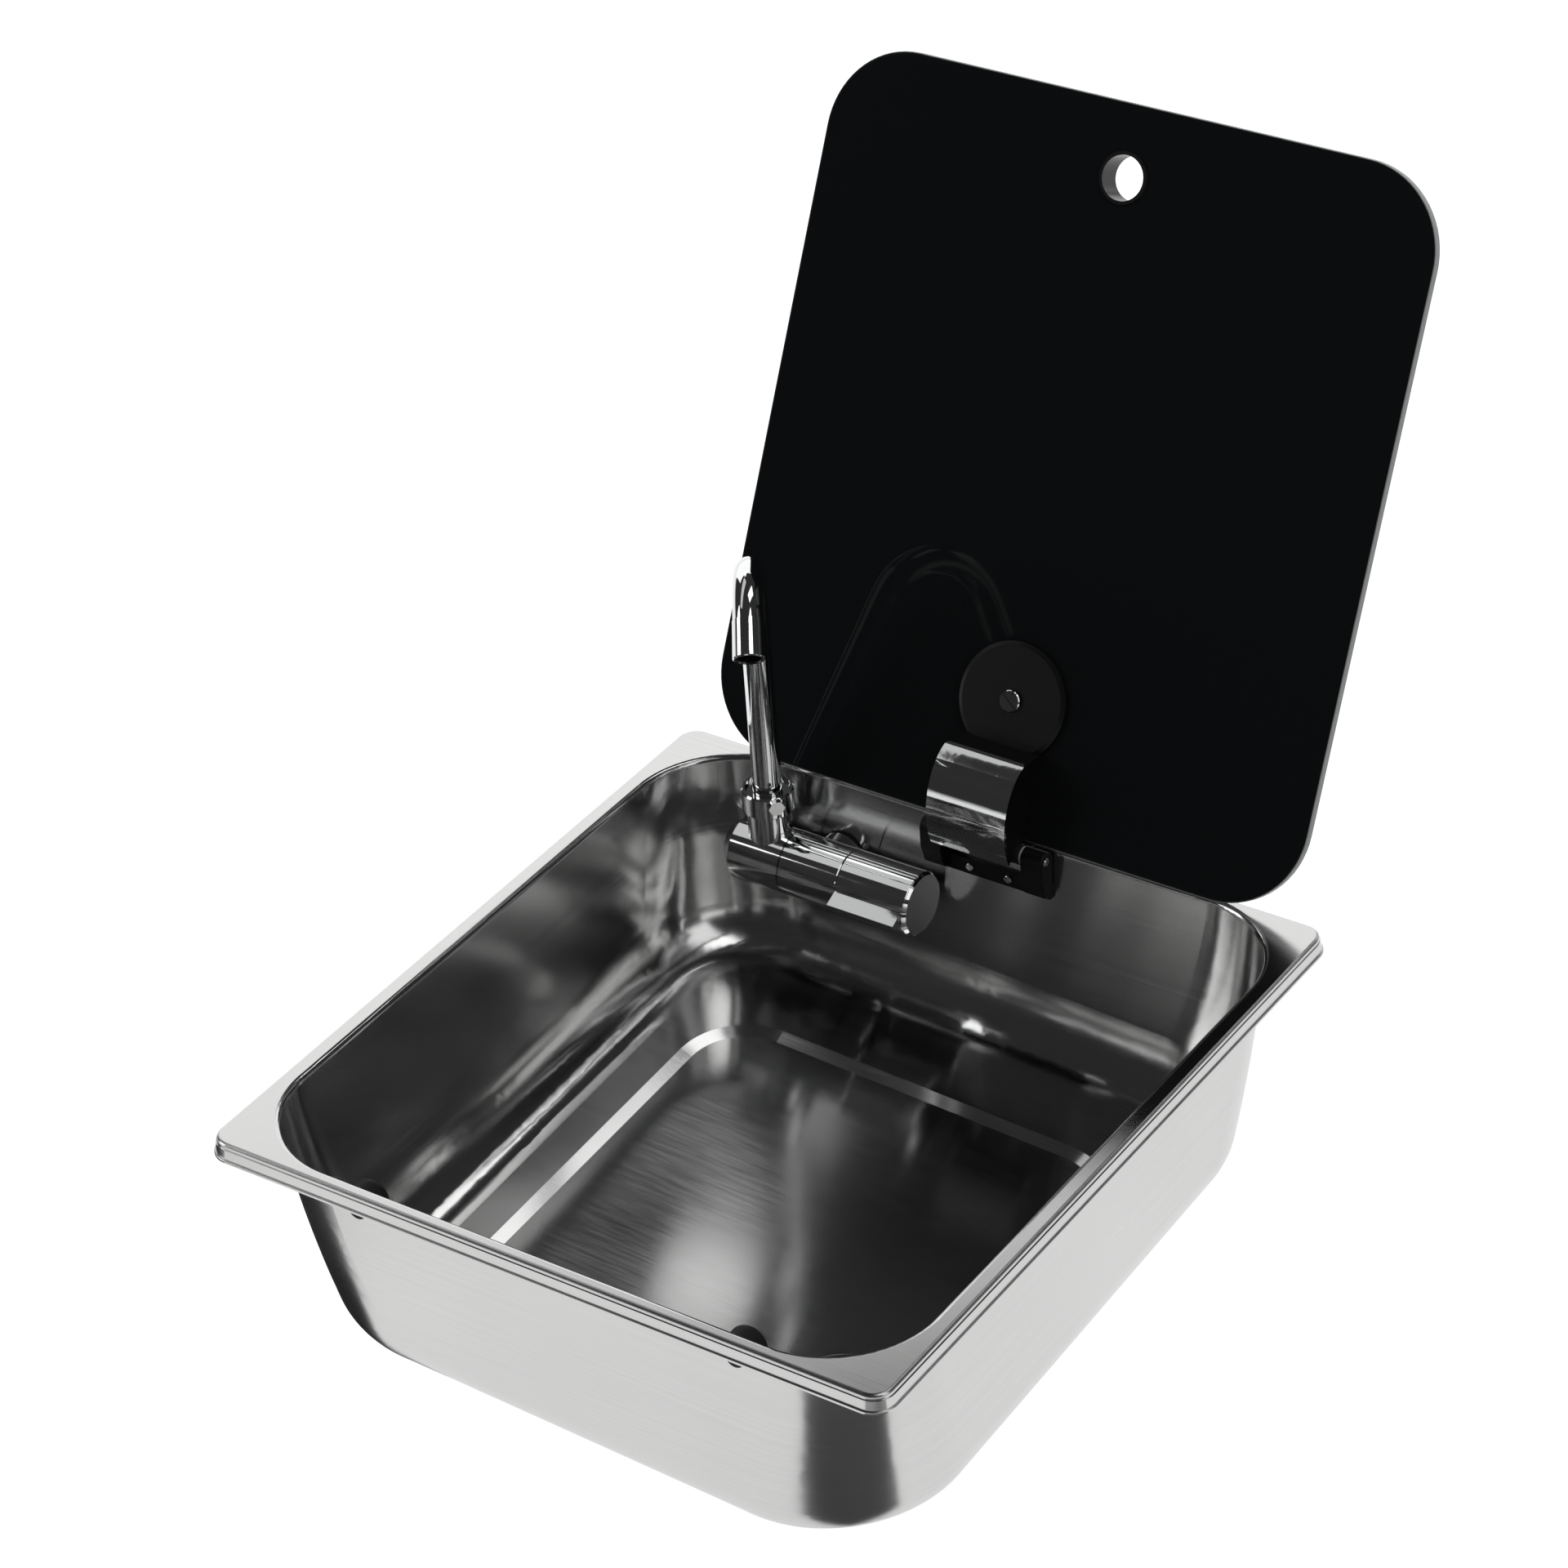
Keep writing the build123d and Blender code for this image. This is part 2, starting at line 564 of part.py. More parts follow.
def waste_plug():
    """Lift-out plug that sits in the flange's dish."""
    face = flange_top + PLUG_GAP
    foot = dish_foot - PLUG_FOOT
    knob_low = PLUG_H - PLUG_KNOB_T
    edge_in, edge_down = PLUG_KNOB_EDGE
    return turned([
        (0, foot), (PLUG_STEM_R, foot), (WASTE_BORE_R - 2 * PLUG_SIDE_GAP, foot + PLUG_FOOT_BEVEL),
        (WASTE_BORE_R - PLUG_SIDE_GAP, dish_foot + PLUG_GAP), (WASTE_DISH_R - PLUG_SIDE_GAP, face),
        (PLUG_R, face), (PLUG_R - PLUG_RIM_BEVEL, face + PLUG_RIM_T), (PLUG_KNOB_R, flange_top + PLUG_DOME_H),
        (PLUG_NECK_R, flange_top + PLUG_NECK_H), (PLUG_NECK_R, knob_low),
        (PLUG_KNOB_R, knob_low + PLUG_KNOB_UNDER), (PLUG_KNOB_R, PLUG_H - edge_down),
        (PLUG_KNOB_R - edge_in, PLUG_H), (0, PLUG_H)])


write("waste_flange", drain * waste_flange())
ring_bore = WASTE_TUBE_R + FIT
waste_ring = ring(ring_bore + WASTE_RING_W, ring_bore, WASTE_RING_T - 2 * PRESS)
write("waste_gasket", *[drain * Pos(0, 0, level + PRESS) * waste_ring for level in (0, under_floor)])
waste_nut = hex_bar(WASTE_NUT_R, WASTE_NUT_T) - Cylinder(ring_bore, 3 * WASTE_NUT_T)
write("waste_nut", drain * Pos(0, 0, under_floor - WASTE_NUT_T) * waste_nut)
write("waste_body", drain * waste_body())
write("waste_plug", drain * waste_plug())


# ---------------------------------------------------------------- lid
# The lid is drawn closed, in its own frame: Y up the glass from the rear edge, Z out of its underside.
# It is then swung open about the hinge axis.
closed = Plane(origin=(0, lid_rear_y, RIM_H - LID_DROP), x_dir=(1, 0, 0), z_dir=(0, 0, -1)).location
swing = Pos(0, hinge_y, hinge_z) * Rot(-LID_OPEN, 0, 0) * Pos(0, -hinge_y, -hinge_z)
LID = swing * closed
eye_s = lid_rear_y - hinge_y
eye_o = RIM_H - LID_DROP - hinge_z


def lid_glass():
    """Tempered plate with rounded edges, a finger hole and a clamp hole."""
    plate = Pos(0, lid_l / 2, -GLASS_T) * extrude(RectangleRounded(lid_w, lid_l, LID_CORNER_R), GLASS_T)
    for centre, radius in ((hole_s, GROMMET_R + GROMMET_CLEAR), (PAD_S, CLAMP_HOLE_R)):
        plate = plate - Pos(0, centre, 0) * Cylinder(radius, 3 * GLASS_T)
    rims = [edge for edge in plate.edges() if edge.geom_type != GeomType.CIRCLE
            or abs(edge.radius - LID_CORNER_R) < LEVEL]
    rims = [edge for edge in rims if abs(edge.tangent_at(0.5).Z) < 0.5]
    return fillet(rims, GLASS_EDGE_R)


def finger_grommet():
    """Black ring through the finger hole, with a low flange below and a collar above."""
    top = -GLASS_T - SEAT
    body = turned([
        (GROMMET_BORE_R, GROMMET_FLANGE_T + SEAT), (GROMMET_BORE_R, top - GROMMET_COLLAR_H),
        (GROMMET_COLLAR_R - GROMMET_COLLAR_BEVEL, top - GROMMET_COLLAR_H),
        (GROMMET_COLLAR_R, top - GROMMET_COLLAR_H + GROMMET_COLLAR_BEVEL),
        (GROMMET_COLLAR_R, top), (GROMMET_R, top), (GROMMET_R, SEAT), (GROMMET_FLANGE_R, SEAT),
        (GROMMET_FLANGE_R - GROMMET_LIP_BEVEL, GROMMET_FLANGE_T + SEAT)])
    return Pos(0, hole_s, 0) * body


def cover_line(inset):
    """The cover's side line in the lid's (Y, Z) plane, moved inwards."""
    points = []
    for s, o in COVER_LINE:
        inward = Vector(COVER_MIDDLE[0] - s, COVER_MIDDLE[1] - o).normalized() * inset
        points.append((s + inward.X, o + inward.Y))
    return Plane.YZ * Spline(*points)


def side_slab(outline, half_width):
    """A side outline in the lid's (Y, Z) plane, extruded to both sides."""
    return Pos(-half_width, 0, 0) * extrude(outline, 2 * half_width, dir=(1, 0, 0))


def between(first, second):
    """A face between two open lines that run the same way."""
    return make_face([first, Line(first @ 1, second @ 1), second, Line(second @ 0, first @ 0)])


def hinge_cover():
    """Bright curved sheet over the arm, its upper corners rounded."""
    sheet = side_slab(between(cover_line(0), cover_line(COVER_T)), COVER_HALF_W)
    head = sheet.faces().filter_by(Axis.X, reverse=True).sort_by(Axis.Y)[-1]
    corners = [edge for edge in head.edges() if edge.length < COVER_HALF_W]
    return fillet(corners, COVER_CORNER_R)


def hinge_arm():
    """Moulded arm: the round pad, the block under the cover and the eye on the pin."""
    line = cover_line(COVER_T + SEAT)
    head, foot = line @ 0, line @ 1
    under = Polyline((0, foot.Y, foot.Z), (0, foot.Y, ARM_UNDER), (0, ARM_TOP_S, ARM_UNDER),
                     (0, ARM_TOP_S, PAD_TOP), (0, head.Y, head.Z))
    block = side_slab(make_face([line, under]), ARM_HALF_W)
    web_top = ARM_UNDER + CUT_LAP
    web = Plane.YZ * Polyline((eye_s - EYE_R + EYE_WEB_IN, eye_o), (eye_s + EYE_R, eye_o),
                              (eye_s + EYE_R, web_top), (foot.Y, web_top), close=True)
    block = block + side_slab(make_face(web), ARM_HALF_W)
    block = block + rod(EYE_R, (-ARM_HALF_W, eye_s, eye_o), (ARM_HALF_W, eye_s, eye_o))
    pad_foot = WASHER_T + SEAT
    pad = turned([(0, pad_foot), (PAD_R, pad_foot), (PAD_R, PAD_TOP - PAD_BEVEL_H),
                  (PAD_R - PAD_BEVEL_W, PAD_TOP), (0, PAD_TOP)])
    span = ARM_HALF_W + CUT_LAP
    arm = block + Pos(0, PAD_S, 0) * pad
    arm = arm - rod(PIN_R + PIN_CLEAR, (-span, eye_s, eye_o), (span, eye_s, eye_o))
    return arm - Pos(0, PAD_S, 0) * Cylinder(CLAMP_SCREW_R + SCREW_CLEAR, 4 * PAD_TOP)


def clamp_screw():
    """Slotted screw that clamps the pad, the glass and the cap together."""
    head = Pos(0, 0, PAD_TOP + SEAT) * Cylinder(CLAMP_HEAD_R, CLAMP_HEAD_H, align=BASE)
    head = chamfer(head.edges().group_by(Axis.Z)[-1], SMALL_EDGE)
    slot = Box(3 * CLAMP_HEAD_R, SLOT_W, 2 * SLOT_D)
    head = head - Pos(0, 0, PAD_TOP + SEAT + CLAMP_HEAD_H) * Rot(0, 0, SLOT_TURN) * slot
    shank = rod(CLAMP_SCREW_R, (0, 0, PAD_TOP + SEAT + CLAMP_HEAD_H - SLOT_D), (0, 0, -GLASS_T - CAP_T))
    return Pos(0, PAD_S, 0) * (head + shank)


def lid_top_cap():
    """Cap on the glass's upper face, with the threaded boss in the glass's hole."""
    base = -GLASS_T - WASHER_T - SEAT
    cap = Pos(0, 0, base - CAP_T) * Cylinder(CAP_R, CAP_T, align=BASE)
    cap = fillet(cap.edges().group_by(Axis.Z)[0], CAP_EDGE_R)
    cap = cap + rod(CAP_BOSS_R, (0, 0, base - CUT_LAP), (0, 0, -CUT_LAP))
    cap = cap - rod(CLAMP_SCREW_R + SCREW_CLEAR, (0, 0, CUT_LAP), (0, 0, -GLASS_T - CAP_T - CAP_BORE_GAP))
    return Pos(0, PAD_S, 0) * cap


write("lid_glass", LID * lid_glass())
write("finger_grommet", LID * finger_grommet())
write("hinge_cover", LID * hinge_cover())
write("hinge_arm", LID * hinge_arm())
write("clamp_screw", LID * clamp_screw())
write("lid_top_cap", LID * lid_top_cap())
washer_place = Pos(0, PAD_S, SEAT / 2)
low_washer = washer_place * ring(WASHER_R, CLAMP_HOLE_R, WASHER_T)
top_washer = Pos(0, PAD_S, -GLASS_T - WASHER_T - SEAT / 2) * ring(CAP_R - 1, CLAMP_HOLE_R, WASHER_T)
write("glass_washers", LID * low_washer, LID * top_washer)


# ---------------------------------------------------------------- hinge bracket
def plate_line(drop, thickness):
    """A point (y, z) on a plate that lies along the back wall."""
    z = RIM_H - drop
    return (back_wall_y(z) - (thickness + SEAT) / math.cos(draft), z)


def hinge_bracket():
    """Two ears on a strip that follows the leaning back wall."""
    ear = make_face(Plane.YZ * Polyline(
        (hinge_y - EAR_R, hinge_z), (hinge_y - EAR_R, RIM_H - EAR_FRONT_DROP),
        (hinge_y - EAR_FOOT_IN, RIM_H - EAR_FOOT_DROP),
        plate_line(BRACKET_BOTTOM_DROP, 0), plate_line(BRACKET_TOP_DROP, 0), (hinge_y, hinge_z + EAR_R),
        close=True))
    strip = make_face(Plane.YZ * Polyline(
        plate_line(BRACKET_BOTTOM_DROP, STRIP_T), plate_line(BRACKET_BOTTOM_DROP, 0),
        plate_line(STRIP_TOP_DROP, 0), plate_line(STRIP_TOP_DROP, STRIP_T), close=True))
    body = side_slab(strip, EAR_OUT)
    for side in (-1, 1):
        inner, outer = side * EAR_IN, side * EAR_OUT
        cheek = Pos(min(inner, outer), 0, 0) * extrude(ear, EAR_OUT - EAR_IN, dir=(1, 0, 0))
        cheek = cheek + rod(EAR_R, (inner, hinge_y, hinge_z), (outer, hinge_y, hinge_z))
        face = cheek.faces().filter_by(Axis.X).sort_by(Axis.X)[-1 if side > 0 else 0]
        body = body + fillet(face.edges(), EAR_EDGE_R)
        hole = Pos(0, 0, -STRIP_T) * Cylinder(SMALL_SCREW_R + SCREW_CLEAR, 4 * STRIP_T, align=BASE)
        body = body - back_wall_at(side * BRACKET_SCREW_X, RIM_H - BRACKET_SCREW_DROP) * hole
    span = EAR_OUT + CUT_LAP
    return body - rod(PIN_R + PIN_CLEAR, (-span, hinge_y, hinge_z), (span, hinge_y, hinge_z))


def bracket_screw(side):
    """Round-headed screw through the strip and the wall."""
    head = Pos(0, 0, STRIP_T + 2 * SEAT) * Cylinder(SMALL_HEAD_R, SMALL_HEAD_H, align=BASE)
    head = fillet(head.edges().group_by(Axis.Z)[-1], SMALL_HEAD_EDGE_R)
    shank = rod(SMALL_SCREW_R, (0, 0, STRIP_T + CUT_LAP), (0, 0, -SHEET - SMALL_NUT_T - SMALL_SCREW_OUT))
    return back_wall_at(side * BRACKET_SCREW_X, RIM_H - BRACKET_SCREW_DROP) * (head + shank)


def bracket_nut(side):
    """Nut behind the wall."""
    nut = hex_bar(SMALL_NUT_R, SMALL_NUT_T) - Cylinder(SMALL_SCREW_R + SCREW_CLEAR, 4 * SMALL_NUT_T)
    place = back_wall_at(side * BRACKET_SCREW_X, RIM_H - BRACKET_SCREW_DROP)
    return place * Pos(0, 0, -SHEET - SEAT - SMALL_NUT_T) * nut


def hinge_bush(side):
    """Thrust bush between an ear and the arm's eye."""
    start = side * (EAR_IN - SEAT)
    end = start - side * BUSH_T
    bush = rod(BUSH_R, (start, hinge_y, hinge_z), (end, hinge_y, hinge_z))
    return bush - rod(PIN_R + PIN_CLEAR, (start, hinge_y, hinge_z), (end, hinge_y, hinge_z))


write("hinge_bracket", hinge_bracket())
write("hinge_bracket_screws", bracket_screw(-1), bracket_screw(1))
write("hinge_bracket_nuts", bracket_nut(-1), bracket_nut(1))
write("hinge_bushes", hinge_bush(-1), hinge_bush(1))
pin = rod(PIN_R, (-PIN_HALF_L, hinge_y, hinge_z), (PIN_HALF_L, hinge_y, hinge_z))
write("hinge_pin", chamfer(pin.edges(), SMALL_EDGE))


# ---------------------------------------------------------------- tap
def barrel(radius, x_from, x_to):
    """A round bar on the barrel's axis."""
    return rod(radius, (x_from, tap_y, tap_z), (x_to, tap_y, tap_z))


def barrel_ring(x, radius, section):
    """A round sealing ring on the barrel's axis."""
    return Pos(x, tap_y, tap_z) * Rot(0, 90, 0) * Torus(radius, section)


def tap_body():
    """Fixed middle of the barrel: bores for the elbow and the cartridge, boss to the wall."""
    left = elbow_x1 + RUN_GAP
    body = barrel(BARREL_R, left, body_x1)
    body = chamfer(body.edges(), JOINT_EDGE)
    wall_gap = SHANK_RING_T + 2 * SEAT
    axis_off = (back_wall_y(tap_z) - tap_y) * math.cos(draft)
    body = body + tap_wall * Pos(0, 0, wall_gap) * Cylinder(BOSS_R, axis_off - wall_gap, align=BASE)
    spigot_end = elbow_x1 + SPIGOT_L + RUN_GAP
    body = body - barrel(SPIGOT_R + FIT, left - CUT_LAP, spigot_end)
    body = body - barrel(BODY_BORE_R, cartridge_x0 - SEAT, body_x1 + CUT_LAP)
    body = body - barrel(CARTRIDGE_PORT_R, spigot_end - CUT_LAP, cartridge_x0)
    body = body - tap_wall * Cylinder(INLET_PORT_R, 2 * axis_off)
    return body - tap_wall * Cylinder(SHANK_R + FIT, 2 * (axis_off - BARREL_R + SHANK_IN + CUT_LAP))


def tap_elbow():
    """Left end of the barrel: spigot in the body, collar for the spout, hollow for the water."""
    spigot_end = elbow_x1 + SPIGOT_L
    body = barrel(BARREL_R, elbow_x0, elbow_x1)
    body = chamfer(body.edges().sort_by(Axis.X)[0], END_CHAMFER)
    body = body + rod(COLLAR_R, (column_x, tap_y, tap_z), (column_x, tap_y, RIM_H - COLLAR_TOP_DROP))
    body = body + barrel(SPIGOT_R, elbow_x1 - CUT_LAP, spigot_end)
    body = body - barrel(ELBOW_PLUG_R, elbow_x0 - CUT_LAP, elbow_x0 + ELBOW_PLUG_L)
    body = body - barrel(SPIGOT_BORE_R, elbow_x0, spigot_end + CUT_LAP)
    foot = RIM_H - TUBE_FOOT_DROP
    body = body - rod(TUBE_R + 2 * FIT, (column_x, tap_y, foot - SEAT), (column_x, tap_y, RIM_H))
    body = body - rod(TUBE_BORE_R, (column_x, tap_y, tap_z), (column_x, tap_y, RIM_H))
    body = body - rod(SHOULDER_R + 2 * FIT, (column_x, tap_y, RIM_H - SHOULDER_DROP - SEAT),
                      (column_x, tap_y, RIM_H))
    for x in fold_ring_places:
        groove = barrel(SPIGOT_R + CUT_LAP, x - RING_GROOVE_W / 2, x + RING_GROOVE_W / 2)
        groove = groove - barrel(SPIGOT_R - RING_GROOVE_D, x - RING_GROOVE_W, x + RING_GROOVE_W)
        body = body - groove
    return body


def spout_ring_nut():
    """Ring nut round the spout's foot, with a cup in its top face."""
    bottom, top = RIM_H - NUT_BOTTOM_DROP, RIM_H + NUT_TOP_RISE
    cup_floor = top - NUT_CUP_D
    bore_top = RIM_H - COLLAR_TOP_DROP + SEAT
    bore_r = COLLAR_R + 2 * FIT
    neck_r = TUBE_R + RUN_GAP
    nut = turned([
        (bore_r, bottom), (NUT_R - NUT_EDGE, bottom), (NUT_R, bottom + NUT_EDGE), (NUT_R, top - NUT_EDGE),
        (NUT_R - NUT_EDGE, top), (NUT_CUP_R, top), (NUT_CUP_R - NUT_CUP_TAPER, cup_floor),
        (neck_r, cup_floor), (neck_r, bore_top), (bore_r, bore_top)])
    nut = Pos(column_x, tap_y, 0) * nut
    return nut - rod(LOCK_SHANK_R + SCREW_CLEAR, lock_point(LOCK_TIP - SEAT), lock_point(NUT_R + CUT_LAP))


def lock_point(radius):
    """A point on the lock screw's axis."""
    turn = math.radians(LOCK_ANGLE)
    return (column_x + radius * math.sin(turn), tap_y - radius * math.cos(turn), RIM_H - LOCK_DROP)


def collar_lock_screw():
    """Hexagon-headed lock screw in the ring nut."""
    outwards = Vector(*lock_point(NUT_R)) - Vector(*lock_point(0))
    place = Plane(origin=lock_point(NUT_R + SEAT), z_dir=outwards)
    head = place.location * hex_bar(LOCK_HEX_R, LOCK_HEX_L)
    return head + rod(LOCK_SHANK_R, lock_point(LOCK_TIP), lock_point(NUT_R + CUT_LAP))


# the spout's own frame: X towards its outlet, Z up, at the foot of the column
hook_turn = math.radians(HOOK_ANGLE)
SPOUT = Plane(origin=(column_x, tap_y, RIM_H), x_dir=(math.sin(hook_turn), -math.cos(hook_turn), 0),
              z_dir=(0, 0, 1)).location
bend_end = Plane(
    origin=(BEND_R * (1 - math.cos(math.radians(BEND_ANGLE))), 0,
            COLUMN_TOP + BEND_R * math.sin(math.radians(BEND_ANGLE))),
    z_dir=(math.sin(math.radians(BEND_ANGLE)), 0, math.cos(math.radians(BEND_ANGLE)))).location


def tube_run(radius):
    """The spout's line with one radius: column, bend and the end in the nozzle."""
    column = rod(radius, (0, 0, -TUBE_FOOT_DROP), (0, 0, COLUMN_TOP))
    bend_axis = Axis((BEND_R, 0, COLUMN_TOP), (0, 1, 0))
    bend = revolve(Pos(0, 0, COLUMN_TOP) * Circle(radius), bend_axis, BEND_ANGLE)
    return column + bend + bend_end * Cylinder(radius, NOZZLE_LAP, align=BASE)


def spout_tube():
    """Bent tube with the shoulder under the ring nut and two ring grooves."""
    tube = tube_run(TUBE_R)
    tube = tube + rod(SHOULDER_R, (0, 0, -SHOULDER_DROP), (0, 0, -SHOULDER_DROP + SHOULDER_T))
    tube = tube - tube_run(TUBE_BORE_R)
    for drop in TUBE_RING_DROPS:
        groove = ring(TUBE_R + CUT_LAP, TUBE_R - TUBE_RING_GROOVE, TUBE_RING_W)
        tube = tube - Pos(0, 0, -drop - TUBE_RING_W / 2) * groove
    return tube


def spout_nozzle():
    """Nozzle that widens a little from the tube's end, with the seat of the aerator."""
    nozzle = Cone(NOZZLE_TOP_R, NOZZLE_R, NOZZLE_L, align=BASE)
    nozzle = chamfer(nozzle.edges().group_by(Axis.Z)[-1], NOZZLE_EDGE)
    nozzle = nozzle - Cylinder(TUBE_R + PRESS, NOZZLE_LAP, align=BASE)
    nozzle = nozzle - Cylinder(AERATOR_R - AERATOR_SEAT_W, NOZZLE_L, align=BASE)
    return nozzle - Pos(0, 0, NOZZLE_L - AERATOR_L) * Cylinder(AERATOR_R + PRESS, AERATOR_L, align=BASE)


def spout_aerator():
    """Insert with a ring of holes, just inside the nozzle's mouth."""
    insert = Cylinder(AERATOR_R, AERATOR_L - AERATOR_SINK, align=BASE)
    insert = insert - Pos(0, 0, AERATOR_FLOOR_T) * Cylinder(AERATOR_R - AERATOR_WALL, AERATOR_L, align=BASE)
    for count in range(AERATOR_HOLES):
        place = Rot(0, 0, 360 * count / AERATOR_HOLES) * Pos(AERATOR_HOLE_RING, 0, 0)
        insert = insert - place * Cylinder(AERATOR_HOLE_R, 3 * AERATOR_FLOOR_T)
    return Pos(0, 0, NOZZLE_L - AERATOR_L + PRESS) * insert


fold_ring_places = [elbow_x1 + offset for offset in FOLD_RINGS_AT]
write("tap_body", tap_body())
write("tap_elbow", tap_elbow())
elbow_plug = barrel(ELBOW_PLUG_R - PRESS, elbow_x0 - ELBOW_PLUG_PROUD, elbow_x0 + ELBOW_PLUG_L - SEAT)
write("elbow_plug", chamfer(elbow_plug.edges().sort_by(Axis.X)[0], SMALL_EDGE))
ring_r = SPIGOT_R - RING_GROOVE_D + RING_T + RING_PLAY
write("fold_orings", *[barrel_ring(x, ring_r, RING_T) for x in fold_ring_places])
write("spout_ring_nut", spout_ring_nut())
write("collar_lock_screw", collar_lock_screw())
write("spout_tube", SPOUT * spout_tube())
tube_ring = Torus(TUBE_R - TUBE_RING_GROOVE + TUBE_RING_T + RING_PLAY, TUBE_RING_T)
write("spout_orings", *[SPOUT * Pos(0, 0, -drop) * tube_ring for drop in TUBE_RING_DROPS])
write("spout_nozzle", SPOUT * bend_end * spout_nozzle())
write("spout_aerator", SPOUT * bend_end * spout_aerator())


def lever_outline():
    """The lever's section: a flat facet that leaves the barrel, a blunt nose and the underside."""
    points = [polar(BARREL_R - JOINT_EDGE, LEVER_FROM), polar(LEVER_REACH, LEVER_NOSE),
              polar(LEVER_REACH, LEVER_NOSE + LEVER_NOSE_T), polar(BARREL_R - JOINT_EDGE, LEVER_TO),
              polar(BARREL_R - HANDLE_WALL, (LEVER_FROM + LEVER_TO) / 2)]
    return make_face(Plane.YZ * Polyline(*points, close=True))


def tap_handle():
    """Turning handle: a cup with a hub, a lever and two fine ridges above it."""
    left = body_x1 + RUN_GAP
    body = barrel(BARREL_R, left, handle_x1)
    body = chamfer(body.edges(), JOINT_EDGE)
    lever = Pos(lever_x0, 0, 0) * extrude(lever_outline(), lever_x1 - lever_x0, dir=(1, 0, 0))
    nose = ShapeList(lever.edges().filter_by(Axis.X)).sort_by(Axis.Y)[:2]
    body = body + fillet(nose, LEVER_EDGE)
    for angle in RIDGE_ANGLES:
        centre = polar(BARREL_R, angle)
        block = Pos((lever_x0 + lever_x1) / 2, *centre) * Rot(angle, 0, 0)
        body = body + block * Box(lever_x1 - lever_x0, 2 * RIDGE_H, RIDGE_W)
    body = body - barrel(BARREL_R - HANDLE_WALL, left - CUT_LAP, handle_end_x)
    body = body + barrel(HANDLE_HUB_R, hub_x0, handle_end_x + CUT_LAP)
    body = body - barrel(SPINDLE_R + SCREW_CLEAR, hub_x0 - CUT_LAP, spindle_x1 + SEAT)
    body = body - barrel(HANDLE_SCREW_R + SCREW_CLEAR, spindle_x1 - CUT_LAP, handle_x1)
    room = HANDLE_SCREW_HEAD_R + HANDLE_SCREW_ROOM
    return body - barrel(room, handle_end_x + HANDLE_SCREW_SEAT, handle_x1 + CUT_LAP)


def handle_screw():
    """Screw that holds the handle on the spindle."""
    seat = handle_end_x + HANDLE_SCREW_SEAT + SEAT
    head = barrel(HANDLE_SCREW_HEAD_R, seat, seat + HANDLE_SCREW_HEAD_H)
    return head + barrel(HANDLE_SCREW_R, spindle_x1 - HANDLE_SCREW_GRIP, seat + CUT_LAP)


def handle_end_cap():
    """Bevelled cap on the handle's right end, with the stud that holds it."""
    cap = barrel(HANDLE_CAP_R, handle_x1 + SEAT, cap_x1)
    cap = chamfer(cap.edges().sort_by(Axis.X)[-1], HANDLE_CAP_EDGE)
    stud_r = HANDLE_SCREW_HEAD_R + HANDLE_SCREW_ROOM - CAP_STUD_GAP
    return cap + barrel(stud_r, handle_x1 - CAP_STUD_L, cap_x1 - HANDLE_CAP_EDGE)


def tap_cartridge():
    """Quarter-turn valve: a cartridge with a neck round the spindle."""
    body = barrel(CARTRIDGE_R, cartridge_x0, body_x1 - SEAT)
    body = body + barrel(CARTRIDGE_NECK_R, body_x1 - CUT_LAP, neck_x1)
    body = body - barrel(CARTRIDGE_PORT_R, cartridge_x0 - CUT_LAP, cartridge_x0 + CARTRIDGE_PORT_L)
    body = body - rod(INLET_PORT_R, (boss_x, tap_y, tap_z), (boss_x, tap_y + BARREL_R, tap_z))
    return body - barrel(SPINDLE_R + FIT, body_x1 - SPINDLE_IN, neck_x1 + CUT_LAP)


def cartridge_spindle():
    """Spindle that turns in the cartridge and carries the handle."""
    spindle = barrel(SPINDLE_R, body_x1 - SPINDLE_IN + SEAT, spindle_x1)
    thread_x0 = spindle_x1 - HANDLE_SCREW_GRIP - SCREW_CLEAR
    return spindle - barrel(HANDLE_SCREW_R + SCREW_CLEAR, thread_x0, spindle_x1 + CUT_LAP)


write("tap_handle", tap_handle())
write("handle_screw", handle_screw())
write("handle_end_cap", handle_end_cap())
write("tap_cartridge", tap_cartridge())
write("cartridge_spindle", cartridge_spindle())


# ---------------------------------------------------------------- through the wall
def tap_shank():
    """Hollow threaded shank from the body's boss through the wall."""
    inner_end = (back_wall_y(tap_z) - tap_y) * math.cos(draft) - BARREL_R + SHANK_IN
    return rod(SHANK_R, (0, 0, -SHANK_OUT), (0, 0, inner_end)) - Cylinder(SHANK_BORE_R, 4 * SHANK_OUT)


def shank_nut():
    """Nut behind the wall."""
    nut = hex_bar(SHANK_NUT_R, SHANK_NUT_T) - Cylinder(SHANK_R + FIT, 4 * SHANK_NUT_T)
    return Pos(0, 0, -SHEET - SHANK_RING_T - 2 * SEAT - SHANK_NUT_T) * nut


def inlet_tail():
    """Elbow on the shank's end with a tail that points down."""
    start = -SHANK_OUT - INLET_ELBOW_OUT
    socket_end = INLET_SOCKET_L - INLET_END_T - SHANK_OUT
    socket = rod(INLET_SOCKET_R, (0, 0, start - INLET_END_T), (0, 0, socket_end))
    body = socket + rod(INLET_SOCKET_R - INLET_NECK_IN, (0, 0, start), (0, -INLET_SOCKET_L, start))
    body = body + rod(INLET_R, (0, 0, start), (0, -INLET_DROP, start))
    body = body - rod(SHANK_R + FIT, (0, 0, -SHANK_OUT - SEAT), (0, 0, SHANK_OUT))
    body = body - rod(INLET_BORE_R, (0, 0, start), (0, 0, 0))
    return body - rod(INLET_BORE_R, (0, 0, start), (0, -INLET_DROP - CUT_LAP, start))


